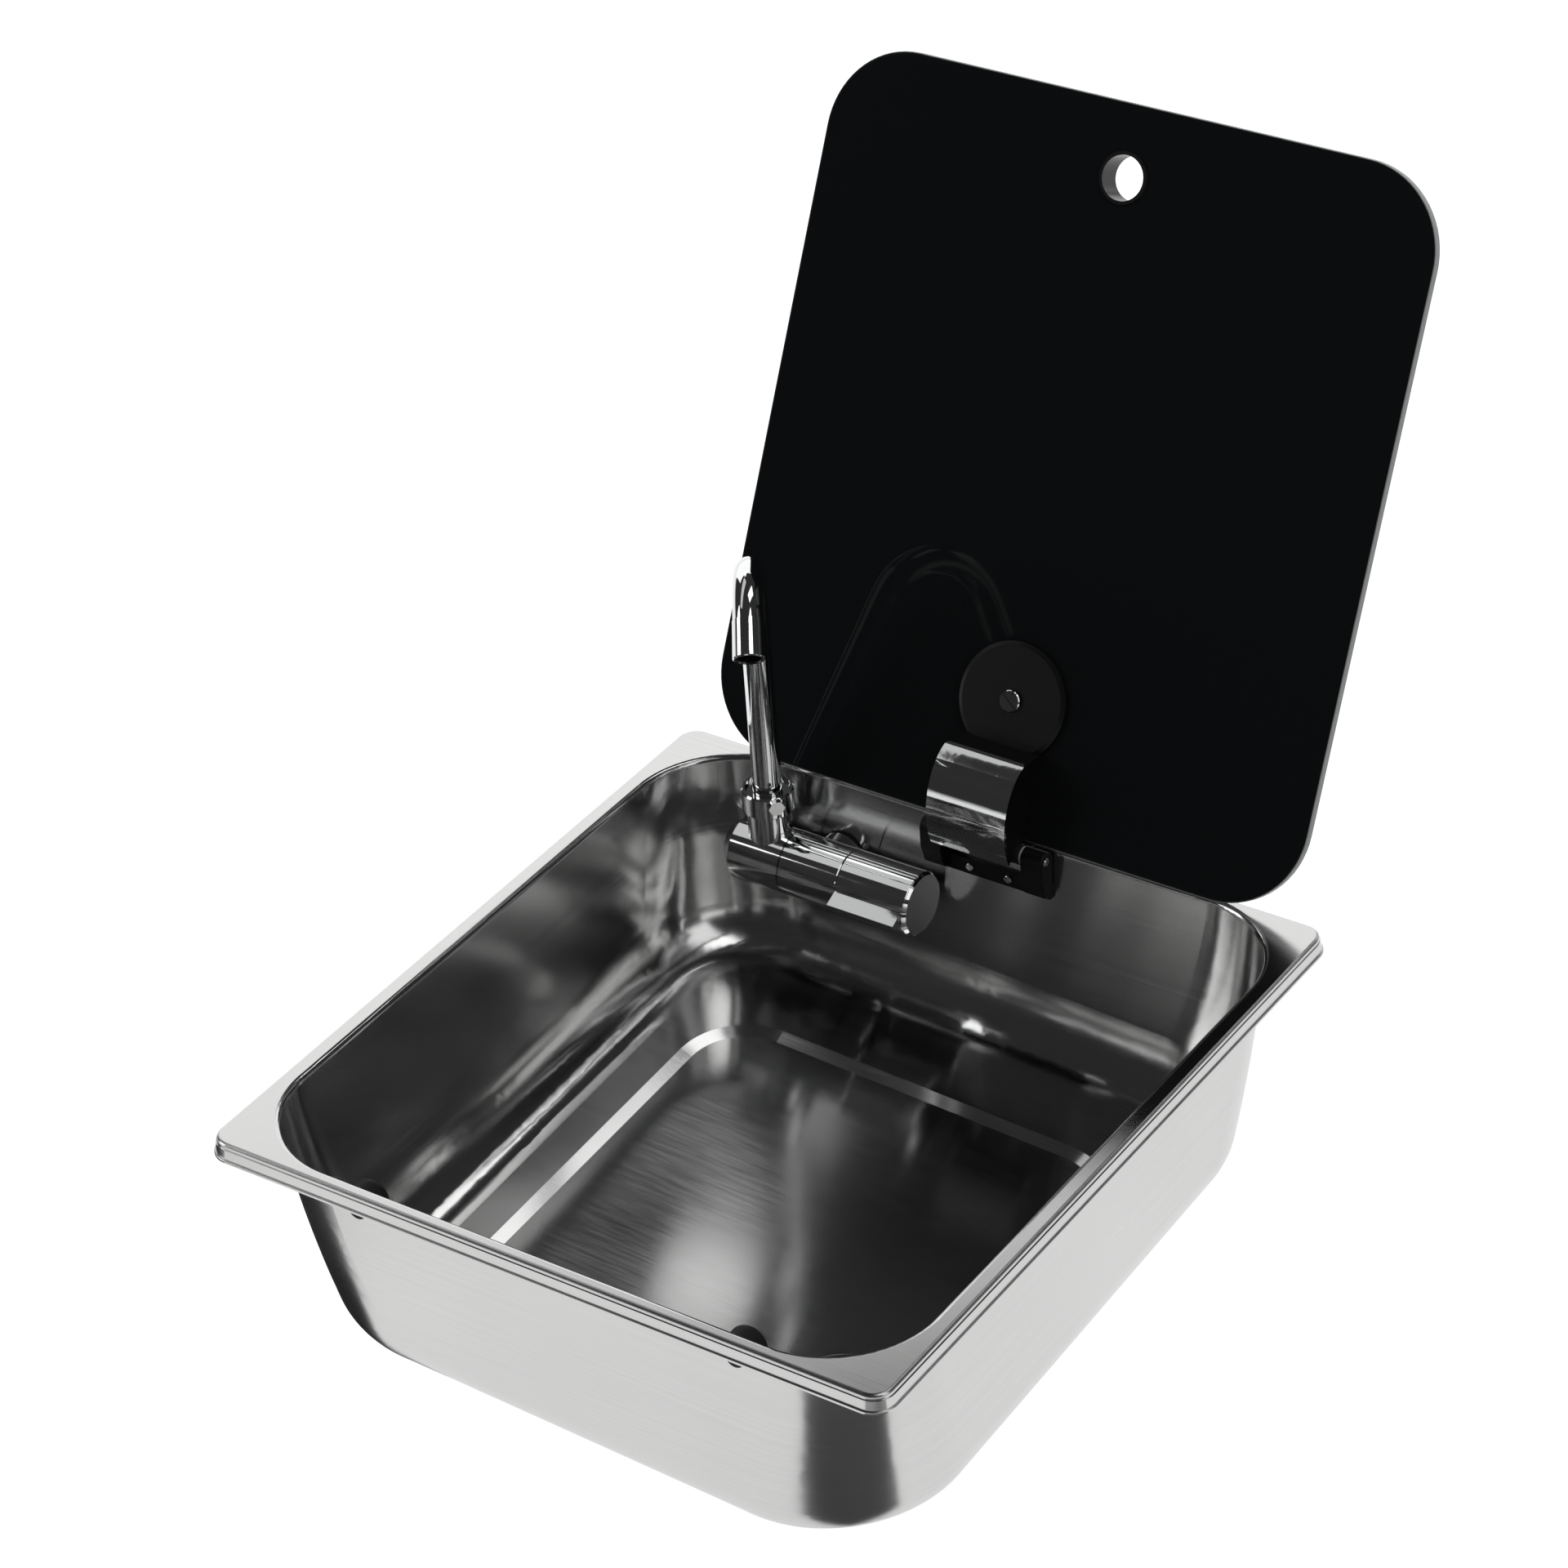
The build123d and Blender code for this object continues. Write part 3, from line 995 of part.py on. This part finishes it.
shank_ring = ring(SHANK_RING_R, SHANK_R + FIT, SHANK_RING_T)
write("tap_shank", tap_wall * tap_shank())
write("shank_washers", tap_wall * Pos(0, 0, SEAT) * shank_ring,
      tap_wall * Pos(0, 0, -SHEET - SHANK_RING_T - SEAT) * shank_ring)
write("shank_nut", tap_wall * shank_nut())
write("inlet_tail", tap_wall * inlet_tail())
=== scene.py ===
import json
import math

import bpy
from mathutils import Matrix, Vector


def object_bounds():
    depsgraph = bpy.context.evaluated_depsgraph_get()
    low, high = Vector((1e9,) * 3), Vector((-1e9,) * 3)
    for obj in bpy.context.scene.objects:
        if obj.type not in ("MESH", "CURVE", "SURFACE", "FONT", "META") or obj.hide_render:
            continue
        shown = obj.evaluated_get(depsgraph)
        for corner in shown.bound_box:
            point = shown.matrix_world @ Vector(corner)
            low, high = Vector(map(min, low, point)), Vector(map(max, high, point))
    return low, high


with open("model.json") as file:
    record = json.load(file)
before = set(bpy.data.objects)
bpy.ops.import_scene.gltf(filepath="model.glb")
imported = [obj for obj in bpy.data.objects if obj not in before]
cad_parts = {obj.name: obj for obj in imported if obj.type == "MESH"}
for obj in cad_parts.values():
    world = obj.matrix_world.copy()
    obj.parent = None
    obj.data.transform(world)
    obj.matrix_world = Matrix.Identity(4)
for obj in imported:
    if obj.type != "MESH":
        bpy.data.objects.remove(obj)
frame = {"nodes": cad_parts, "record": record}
cad_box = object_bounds()
NODES = frame["nodes"]
SLOT_OF = {row["node"]: row["material_slot"] for row in frame["record"]["subparts"]}

UP = (0.0, 0.0, 1.0)
BACKWARD = (0.0, 1.0, 0.0)
WHITE = (1.0, 1.0, 1.0)

# ---------------------------------------------------------------- camera
CAMERA_AT = (1.22519, -1.66042, 1.54508)
CAMERA_AZIMUTH = 36.0715        # degrees, from the front towards the right
CAMERA_ELEVATION = 33.8703
CAMERA_ROLL = -4.1478
FOCAL_PIXELS = 6241.98          # focal length, in pixels of the image
IMAGE_PIXELS = 1920
SENSOR_MM = 36.0
CLIP_FAR = 60.0

# ---------------------------------------------------------------- finishes
MIDDLE = (0.3, 0.7)             # where most of a noise's values lie
WIDE_MIDDLE = (0.25, 0.75)
NARROW_MIDDLE = (0.35, 0.65)

BRUSH_STRETCH = 0.75            # how much the brush lines draw a highlight out across themselves
BRUSH_ALONG = 5                 # noise scale along a brush line
BRUSH_ACROSS = 700              # noise scale across the brush lines
BRUSH_SPREAD = 0.015            # how far lines and clouds each move the gloss up and down
BRUSH_TONE = 0.88               # darkest share of the tone
LEVEL_FACE = (0.55, 0.85)       # the normal's height, from a wall to a level face
OUTER_FACE = (0.02, 0.06)       # metres from the origin to the face's plane, from inner to outer faces
CLOUD_SCALE = 9.0
CLOUD_MARKS = 0.4               # share of the marks that clouds make, and that lines make
LINE_MARKS = 0.6

CHROME_TONE = 0.97              # darkest share of the tone, where a cloth has wiped
PEEL_DEPTH = 0.00001

LID_OPEN = math.radians(116.4)
LID_NORMAL = (0.0, -math.sin(LID_OPEN), -math.cos(LID_OPEN))
FACE_TO_EDGE = (0.9, 0.55)      # how squarely a point looks along the lid's normal, from face to edge
GLASS_FACE = (0.0115, 0.0125, 0.0135)
GLASS_SPECK = (0.1, 0.1, 0.1)
GLASS_EDGE = (0.62, 0.64, 0.63)
SPECK_SIZE = (0.74, 0.8)        # the peaks of the fine noise that show as specks
SPECK_SHARE = 0.03
EDGE_DULLNESS = 0.2

GRAIN_SPREAD = 0.06             # how far a moulded grain moves the gloss up and down

TURNED_TONE = 0.9
TURNED_DEPTH = 0.00006
RADIANS_PER_UNIT = 20.0         # what the wave texture makes of one unit at scale 1

# ---------------------------------------------------------------- studio
FLOOR_Z = cad_box[0].z - 0.001
FLOOR_HALF = 14.0
FLOOR_TONE = (0.60, 0.60, 0.60)
FLOOR_WHITE = 0.87              # the floor's own light near the object, where the camera sees it
FLOOR_FADE = (0.5, 1.8)         # metres from the middle over which that light rises to 1
FLOOR_GLOW = 0.82               # the floor's own light in reflections
MATT = 0.9

SKY_LOW = (0.92, 0.92, 0.92)
SKY_HIGH = (0.03, 0.03, 0.031)
SKY_RISE = 0.09                 # height of the view's direction at which the sky is dark

FLAG_LIFT = 0.0005              # cards above the floor
LEFT_FLAG = [(-0.13, -0.15), (-0.235, -0.265), (-0.38, -0.40), (-0.9, -0.6), (-0.9, 0.02), (-0.20, 0.02)]
FRONT_FLAG = [(0.135, -0.60), (0.60, -0.60), (0.60, -0.28), (0.29, -0.19), (0.20, -0.15), (0.135, -0.15)]
FLOOR_SPOT = (-0.018, -0.055, -0.121)   # the point of the bowl's floor that mirrors the small lamp


def direction(azimuth, elevation):
    """The unit vector at an azimuth, in degrees from the front (-Y) towards the right, and an elevation."""
    turn, lift = math.radians(azimuth), math.radians(elevation)
    return Vector((math.sin(turn) * math.cos(lift), -math.cos(turn) * math.cos(lift), math.sin(lift)))


def make_camera():
    """A camera at the photograph's place, angle and focal length."""
    back = direction(CAMERA_AZIMUTH, CAMERA_ELEVATION)
    level = Vector(UP).cross(back).normalized()
    upright = back.cross(level)
    roll = math.radians(CAMERA_ROLL)
    right = level * math.cos(roll) + upright * math.sin(roll)
    up = upright * math.cos(roll) - level * math.sin(roll)
    data = bpy.data.cameras.new("photo_camera")
    data.sensor_width = SENSOR_MM
    data.lens = FOCAL_PIXELS / IMAGE_PIXELS * SENSOR_MM
    data.clip_end = CLIP_FAR
    camera = bpy.data.objects.new("photo_camera", data)
    turn = Matrix((right, up, back)).transposed().to_4x4()
    camera.matrix_world = Matrix.Translation(CAMERA_AT) @ turn
    bpy.context.scene.collection.objects.link(camera)
    bpy.context.scene.camera = camera


# ---------------------------------------------------------------- node helpers
class Nodes:
    """A node tree, with short calls for the nodes that the finishes and the studio use."""

    def __init__(self, tree):
        self.tree = tree

    def add(self, kind, **settings):
        node = self.tree.nodes.new(kind)
        for key, value in settings.items():
            setattr(node, key, value)
        return node

    def feed(self, value, socket):
        """Links a socket to another one, or sets it to a number, vector or colour."""
        if isinstance(value, bpy.types.NodeSocket):
            self.tree.links.new(value, socket)
        elif socket.type == "RGBA":
            socket.default_value = (*value, 1.0)
        else:
            socket.default_value = value

    def noise(self, vector, scale, detail=2.0, rough=0.5):
        node = self.add("ShaderNodeTexNoise")
        self.feed(vector, node.inputs["Vector"])
        self.feed(scale, node.inputs["Scale"])
        self.feed(detail, node.inputs["Detail"])
        self.feed(rough, node.inputs["Roughness"])
        return node.outputs["Fac"]

    def math(self, operation, *values):
        node = self.add("ShaderNodeMath", operation=operation)
        for value, socket in zip(values, node.inputs):
            self.feed(value, socket)
        return node.outputs[0]

    def range(self, value, span, to=(0.0, 1.0)):
        """A number that runs over one span, carried to another and held at its ends."""
        node = self.add("ShaderNodeMapRange")
        self.feed(value, node.inputs["Value"])
        for name, number in zip(("From Min", "From Max", "To Min", "To Max"), (*span, *to)):
            self.feed(number, node.inputs[name])
        return node.outputs["Result"]

    def mix(self, share, first, second, kind="RGBA"):
        """A colour, FLOAT or VECTOR between two, by share."""
        node = self.add("ShaderNodeMix", data_type=kind)
        sockets = [socket for socket in node.inputs if socket.enabled]
        for value, socket in zip((share, first, second), sockets):
            self.feed(value, socket)
        return [socket for socket in node.outputs if socket.enabled][0]

    def dot(self, first, second):
        node = self.add("ShaderNodeVectorMath", operation="DOT_PRODUCT")
        self.feed(first, node.inputs[0])
        self.feed(second, node.inputs[1])
        return node.outputs["Value"]

    def length_of(self, vector):
        node = self.add("ShaderNodeVectorMath", operation="LENGTH")
        self.feed(vector, node.inputs[0])
        return node.outputs["Value"]

    def height_of(self, vector):
        node = self.add("ShaderNodeSeparateXYZ")
        self.feed(vector, node.inputs[0])
        return node.outputs["Z"]


class Shader(Nodes):
    """A new material, with its surface and the object's own coordinates and normals."""

    def __init__(self, name):
        self.material = bpy.data.materials.new(name)
        self.material.use_nodes = True
        super().__init__(self.material.node_tree)
        self.surface = self.tree.nodes["Principled BSDF"]
        coordinates = self.add("ShaderNodeTexCoord")
        self.place = coordinates.outputs["Object"]
        self.facing = coordinates.outputs["Normal"]

    def stretched(self, scale):
        """The object's coordinates, scaled along each axis."""
        node = self.add("ShaderNodeMapping")
        self.feed(self.place, node.inputs["Vector"])
        self.feed(scale, node.inputs["Scale"])
        return node.outputs["Vector"]

    def bump(self, height, depth):
        """Bump of a real depth in metres."""
        node = self.add("ShaderNodeBump")
        self.feed(height, node.inputs["Height"])
        self.feed(1.0, node.inputs["Strength"])
        self.feed(depth, node.inputs["Distance"])
        self.feed(node.outputs["Normal"], self.surface.inputs["Normal"])

    def set(self, **values):
        """Feeds the surface's sockets, whose names are written with _ for each space."""
        for key, value in values.items():
            self.feed(value, self.surface.inputs[key.replace("_", " ")])


def shaded(tone, share):
    """A darker shade of a tone."""
    return tuple(channel * share for channel in tone)


# ---------------------------------------------------------------- finishes
def brushed_steel(name, tone, gloss, wall_gloss, outer_gloss, depth):
    """Satin steel: fine brush lines along X on level faces and level lines on walls.

    Its gloss is given for level faces, for walls inside and for faces that look away from the middle."""
    s = Shader(name)
    level = s.noise(s.stretched((BRUSH_ALONG, BRUSH_ACROSS, BRUSH_ACROSS)), scale=1.0, rough=0.6)
    upright = s.noise(s.stretched((BRUSH_ALONG, BRUSH_ALONG, BRUSH_ACROSS)), scale=1.0, rough=0.6)
    lying = s.range(s.math("ABSOLUTE", s.height_of(s.facing)), LEVEL_FACE)
    lines = s.mix(lying, upright, level, "FLOAT")
    outer = s.range(s.dot(s.place, s.facing), OUTER_FACE)
    clouds = s.noise(s.place, CLOUD_SCALE, detail=3.0, rough=0.55)
    clouded = s.range(clouds, MIDDLE, to=(0.0, CLOUD_MARKS))
    marks = s.math("ADD", clouded, s.range(lines, WIDE_MIDDLE, to=(0.0, LINE_MARKS)))
    inner_rough = s.mix(lying, wall_gloss, gloss, "FLOAT")
    rough = s.mix(outer, inner_rough, outer_gloss, "FLOAT")
    for pattern in (clouds, lines):
        rough = s.math("ADD", rough, s.range(pattern, MIDDLE, to=(-BRUSH_SPREAD, BRUSH_SPREAD)))
    s.set(Base_Color=s.mix(marks, shaded(tone, BRUSH_TONE), tone), Metallic=1.0, Roughness=rough)
    s.set(Anisotropic=BRUSH_STRETCH, Tangent=s.mix(lying, UP, BACKWARD, "VECTOR"))
    s.bump(lines, depth)
    return s.material


def chrome(name, tone, gloss):
    """Plated metal with a trace of orange peel and wiping marks."""
    s = Shader(name)
    peel = s.noise(s.place, scale=160.0)
    wipes = s.noise(s.stretched((20, 20, 90)), scale=1.0, detail=4.0, rough=0.6)
    colour = s.mix(s.range(wipes, NARROW_MIDDLE), shaded(tone, CHROME_TONE), tone)
    s.set(Base_Color=colour, Metallic=1.0, Roughness=s.range(wipes, (0.3, 0.75), to=(gloss, gloss + 0.05)))
    s.bump(peel, PEEL_DEPTH)
    return s.material


def black_glass(name):
    """Black tempered glass: a dark printed face and a pale polished edge."""
    s = Shader(name)
    edge = s.range(s.math("ABSOLUTE", s.dot(s.facing, LID_NORMAL)), FACE_TO_EDGE)
    smears = s.noise(s.stretched((7, 3, 3)), scale=1.0, detail=4.0, rough=0.6)
    specks = s.range(s.noise(s.place, scale=900.0, detail=1.0), SPECK_SIZE)
    face = s.mix(s.math("MULTIPLY", specks, SPECK_SHARE), GLASS_FACE, GLASS_SPECK)
    smeared = s.range(smears, (0.35, 0.75), to=(0.02, 0.07))
    s.set(Base_Color=s.mix(edge, face, GLASS_EDGE), IOR=1.5, Specular_IOR_Level=0.08)
    s.set(Roughness=s.math("ADD", smeared, s.math("MULTIPLY", edge, EDGE_DULLNESS)))
    s.bump(s.noise(s.place, scale=5.0, detail=1.0), depth=0.00002)
    return s.material


def moulded(name, dark, light, gloss, grain, depth):
    """Moulded plastic or rubber with a fine spark-eroded grain."""
    s = Shader(name)
    fine = s.noise(s.place, grain, rough=0.6)
    flow = s.noise(s.place, scale=25.0)
    s.set(Base_Color=s.mix(s.range(flow, MIDDLE), dark, light), Specular_IOR_Level=0.25)
    s.set(Roughness=s.range(fine, MIDDLE, to=(gloss - GRAIN_SPREAD, gloss + GRAIN_SPREAD)))
    s.bump(fine, depth)
    return s.material


def turned_metal(name, tone, gloss, spacing):
    """Turned metal with a soft wave along Y, as far from crest to crest as the spacing, and a fine grain."""
    s = Shader(name)
    rings = s.add("ShaderNodeTexWave", wave_type="BANDS", bands_direction="Y")
    s.feed(s.place, rings.inputs["Vector"])
    s.feed(2 * math.pi / spacing / RADIANS_PER_UNIT, rings.inputs["Scale"])
    grain = s.noise(s.place, scale=300.0, detail=3.0)
    s.set(Base_Color=s.mix(s.range(grain, MIDDLE), shaded(tone, TURNED_TONE), tone), Metallic=1.0)
    s.set(Roughness=s.range(grain, MIDDLE, to=(gloss - 0.05, gloss + 0.08)))
    s.bump(s.math("ADD", rings.outputs["Fac"], s.math("MULTIPLY", grain, 0.4)), TURNED_DEPTH)
    return s.material


FINISHES = {
    "bowl_steel": brushed_steel("bowl_steel", (0.66, 0.66, 0.655), gloss=0.13, wall_gloss=0.17,
                                outer_gloss=0.25, depth=0.0000003),
    "polished_steel": brushed_steel("polished_steel", (0.60, 0.60, 0.60), gloss=0.10, wall_gloss=0.10,
                                    outer_gloss=0.10, depth=0.0000004),
    "chrome": chrome("chrome", (0.78, 0.785, 0.79), gloss=0.03),
    "black_glass": black_glass("black_glass"),
    "black_plastic": moulded("black_plastic", (0.006, 0.006, 0.007), (0.010, 0.010, 0.011), gloss=0.36,
                             grain=1500.0, depth=0.00002),
    "finger_ring": moulded("finger_ring", (0.010, 0.010, 0.011), (0.016, 0.016, 0.017), gloss=0.22,
                           grain=1200.0, depth=0.00001),
    "rubber": moulded("rubber", (0.012, 0.012, 0.012), (0.020, 0.020, 0.020), gloss=0.62,
                      grain=2200.0, depth=0.00005),
    "brass": turned_metal("brass", (0.58, 0.44, 0.20), gloss=0.28, spacing=0.00754),
    "bush_plastic": moulded("bush_plastic", (0.55, 0.55, 0.52), (0.62, 0.62, 0.59), gloss=0.45,
                            grain=1500.0, depth=0.00002),
}


def dress_nodes():
    """Gives every CAD node the finish of its slot."""
    for name, node in NODES.items():
        node.data.materials.clear()
        node.data.materials.append(FINISHES[SLOT_OF[name]])


# ---------------------------------------------------------------- studio
def plain_floor():
    """A large pale floor, kept white for the camera and for reflections, with the object's soft shadow."""
    bpy.ops.mesh.primitive_plane_add(size=2 * FLOOR_HALF, location=(0, 0, FLOOR_Z))
    floor = bpy.context.object
    floor.name = "floor"
    s = Shader("pale_floor")
    path = s.add("ShaderNodeLightPath")
    mirrored = s.math("MAXIMUM", path.outputs["Is Glossy Ray"], path.outputs["Is Transmission Ray"])
    white = s.range(s.length_of(s.place), FLOOR_FADE, to=(FLOOR_WHITE, 1.0))
    seen = s.math("MULTIPLY", path.outputs["Is Camera Ray"], white)
    glow = s.math("MAXIMUM", seen, s.math("MULTIPLY", mirrored, FLOOR_GLOW))
    s.set(Base_Color=FLOOR_TONE, Roughness=MATT, Specular_IOR_Level=0.1)
    s.set(Emission_Color=WHITE, Emission_Strength=glow)
    floor.data.materials.append(s.material)


def studio_world():
    """White for the camera and through glass; for other rays, pale low down and dark where the lamps are."""
    world = bpy.data.worlds.new("studio")
    bpy.context.scene.world = world
    world.use_nodes = True
    n = Nodes(world.node_tree)
    ramp = n.add("ShaderNodeValToRGB")
    n.feed(n.height_of(n.add("ShaderNodeTexCoord").outputs["Generated"]), ramp.inputs["Fac"])
    low, high = ramp.color_ramp.elements
    low.position, low.color = 0.0, (*SKY_LOW, 1.0)
    high.position, high.color = SKY_RISE, (*SKY_HIGH, 1.0)
    path = n.add("ShaderNodeLightPath")
    seen = n.math("MAXIMUM", path.outputs["Is Camera Ray"], path.outputs["Is Transmission Ray"])
    background = n.tree.nodes["Background"]
    n.feed(n.mix(seen, ramp.outputs["Color"], WHITE), background.inputs["Color"])
    n.feed(1.0, background.inputs["Strength"])


def softbox(name, azimuth, elevation, distance, size, radiance, shape="RECTANGLE", target=(0, 0, 0)):
    """A soft lamp of a given brightness that the camera doesn't see, turned to its target on the sink."""
    at = distance * direction(azimuth, elevation)
    data = bpy.data.lights.new(name, "AREA")
    data.shape = shape
    data.size, data.size_y = size
    area = size[0] * size[1] * (math.pi / 4 if shape == "DISK" else 1)
    data.energy = radiance * math.pi * area
    lamp = bpy.data.objects.new(name, data)
    lamp.location = at + Vector(target)
    lamp.rotation_euler = at.to_track_quat("Z", "Y").to_euler()
    lamp.visible_camera = False
    bpy.context.scene.collection.objects.link(lamp)


def flag(name, grey, outline):
    """A dark card on the floor that only reflections see."""
    mesh = bpy.data.meshes.new(name)
    corners = [(x, y, FLOOR_Z + FLAG_LIFT) for x, y in outline]
    mesh.from_pydata(corners, [], [tuple(range(len(outline)))])
    card = bpy.data.objects.new(name, mesh)
    bpy.context.scene.collection.objects.link(card)
    s = Shader(name)
    s.set(Base_Color=(grey, grey, grey), Roughness=MATT)
    mesh.materials.append(s.material)
    card.visible_camera = False
    card.visible_diffuse = False
    card.visible_shadow = False


def light_studio():
    """The lamps, where the photograph's own reflections show them, and the two cards."""
    softbox("back_left_softbox", azimuth=-141, elevation=22.2, distance=6.5, size=(8.0, 4.5), radiance=1.2)
    softbox("left_high_softbox", azimuth=-96, elevation=56, distance=2.4, size=(1.8, 0.55), radiance=0.6)
    softbox("right_softbox", azimuth=84, elevation=36, distance=2.4, size=(1.1, 1.6), radiance=1.1)
    softbox("right_high_softbox", azimuth=78, elevation=66, distance=2.4, size=(0.9, 0.7), radiance=2.0)
    softbox("front_left_softbox", azimuth=-58, elevation=24, distance=2.4, size=(1.1, 1.3), radiance=2.1)
    softbox("back_right_softbox", azimuth=163, elevation=22, distance=2.6, size=(1.3, 1.4), radiance=0.7)
    softbox("top_softbox", azimuth=165, elevation=66, distance=2.2, size=(0.55, 1.0), radiance=1.6)
    softbox("waste_spot", azimuth=-143.4, elevation=47.5, distance=0.72, size=(0.07, 0.07), radiance=1.1,
            shape="DISK", target=FLOOR_SPOT)
    flag("left_flag", 0.005, LEFT_FLAG)
    flag("front_flag", 0.22, FRONT_FLAG)


bpy.context.scene.view_settings.view_transform = "Standard"
make_camera()
dress_nodes()
plain_floor()
studio_world()
light_studio()
